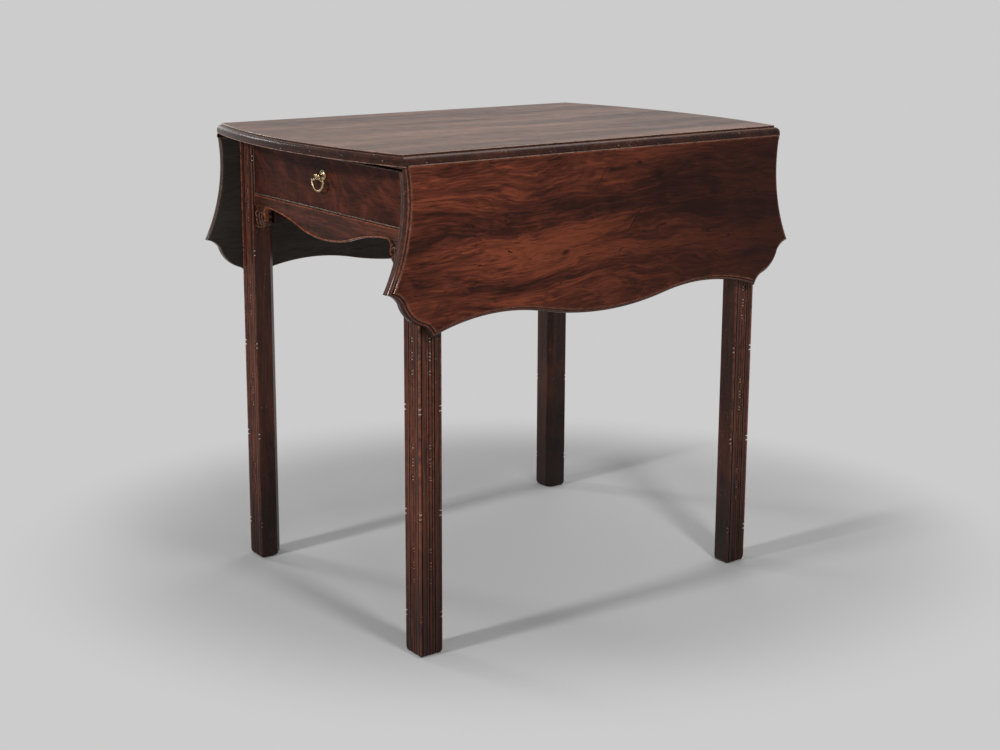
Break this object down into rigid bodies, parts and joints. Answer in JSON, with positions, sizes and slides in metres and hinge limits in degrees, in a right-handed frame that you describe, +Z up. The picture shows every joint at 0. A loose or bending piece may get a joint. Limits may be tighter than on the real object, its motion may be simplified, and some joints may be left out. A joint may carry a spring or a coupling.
{
  "type": "pembroke table",
  "caption": "Pembroke table with bowed top, shaped drop leaves on rule joints, a drawer with a brass drop pull, pierced brackets and moulded square legs.",
  "frame": {"origin": "on the floor under the middle of the table", "axes": "+X towards the right leaf, +Y away from the drawer end, along the hinge lines, +Z up"},
  "size_m": [0.542, 0.771, 0.711],
  "materials": {
    "mahogany_top": "old polished mahogany, worn, semi-matt sheen",
    "mahogany_leaf": "old polished mahogany, streaked figure, worn arrises",
    "mahogany_leg": "dark old polished mahogany, rubbed lighter on the mouldings",
    "mahogany_rail": "dark old polished mahogany",
    "mahogany_carving": "dark carved mahogany, rubbed edges",
    "secondary_oak": "unpolished oak and deal, aged",
    "brass": "old polished brass, slightly dull",
    "iron": "dark wrought iron"
  },
  "bodies": {
    "frame": {"back_rail": "mahogany_rail", "back_rail_bead": "mahogany_rail", "bracket_back_left": "mahogany_carving", "bracket_back_right": "mahogany_carving", "bracket_front_left": "mahogany_carving", "bracket_front_right": "mahogany_carving", "drawer_kicker_left": "secondary_oak", "drawer_kicker_right": "secondary_oak", "drawer_rail": "mahogany_rail", "drawer_rail_bead": "mahogany_rail", "drawer_runner_left": "secondary_oak", "drawer_runner_right": "secondary_oak", "drawer_stops": "secondary_oak", "fly_block_left": "secondary_oak", "fly_block_right": "secondary_oak", "fly_pins_left": "iron", "fly_pins_right": "iron", "glue_blocks": "secondary_oak", "hinge_pins_left": "iron", "hinge_pins_right": "iron", "hinge_top_flaps_left": "iron", "hinge_top_flaps_right": "iron", "hinge_top_screws_left": "iron", "hinge_top_screws_right": "iron", "leg_back_left": "mahogany_leg", "leg_back_right": "mahogany_leg", "leg_front_left": "mahogany_leg", "leg_front_right": "mahogany_leg", "side_bracket_back_left": "mahogany_carving", "side_bracket_back_right": "mahogany_carving", "side_bracket_front_left": "mahogany_carving", "side_bracket_front_right": "mahogany_carving", "side_rail_left": "secondary_oak", "side_rail_right": "secondary_oak", "top_board": "mahogany_top", "top_screws": "iron", "upper_rail": "mahogany_rail"},
    "leaf_right": {"hinge_leaf_flaps_right": "iron", "hinge_leaf_screws_right": "iron", "leaf_right": "mahogany_leaf"},
    "leaf_left": {"hinge_leaf_flaps_left": "iron", "hinge_leaf_screws_left": "iron", "leaf_left": "mahogany_leaf"},
    "drawer": {"cockbead_bottom": "mahogany_rail", "cockbead_left": "mahogany_rail", "cockbead_right": "mahogany_rail", "cockbead_top": "mahogany_rail", "drawer_back": "secondary_oak", "drawer_bottom": "secondary_oak", "drawer_front": "mahogany_rail", "drawer_side_left": "secondary_oak", "drawer_side_right": "secondary_oak", "pull_nut": "brass", "pull_post": "brass", "pull_rosette": "brass"},
    "pull": {"pull_drop": "brass"},
    "fly_back_left": {"fly_back_left": "secondary_oak"},
    "fly_back_right": {"fly_back_right": "secondary_oak"},
    "fly_front_left": {"fly_front_left": "secondary_oak"},
    "fly_front_right": {"fly_front_right": "secondary_oak"}
  },
  "joints": [
    {"name": "leaf_right_swing", "type": "hinge", "parent": "frame", "child": "leaf_right", "pos_m": [0.258, 0, 0.698], "axis": [0, -1, 0], "range_deg": [0, 90]},
    {"name": "leaf_left_swing", "type": "hinge", "parent": "frame", "child": "leaf_left", "pos_m": [-0.258, 0, 0.698], "axis": [0, 1, 0], "range_deg": [0, 90]},
    {"name": "drawer_slide", "type": "slide", "parent": "frame", "child": "drawer", "axis": [0, -1, 0], "range_m": [0, 0.38]},
    {"name": "pull_drop_swing", "type": "hinge", "parent": "drawer", "child": "pull", "pos_m": [0, -0.3235, 0.6545], "axis": [-1, 0, 0], "range_deg": [-10, 85]},
    {"name": "fly_front_right_swing", "type": "hinge", "parent": "frame", "child": "fly_front_right", "pos_m": [0.2358, -0.07, 0.656], "axis": [0, 0, 1], "range_deg": [0, 4.4]},
    {"name": "fly_front_left_swing", "type": "hinge", "parent": "frame", "child": "fly_front_left", "pos_m": [-0.2358, -0.07, 0.656], "axis": [0, 0, -1], "range_deg": [0, 4.4]},
    {"name": "fly_back_right_swing", "type": "hinge", "parent": "frame", "child": "fly_back_right", "pos_m": [0.2358, 0.07, 0.656], "axis": [0, 0, -1], "range_deg": [0, 4.4]},
    {"name": "fly_back_left_swing", "type": "hinge", "parent": "frame", "child": "fly_back_left", "pos_m": [-0.2358, 0.07, 0.656], "axis": [0, 0, 1], "range_deg": [0, 4.4]}
  ]
}
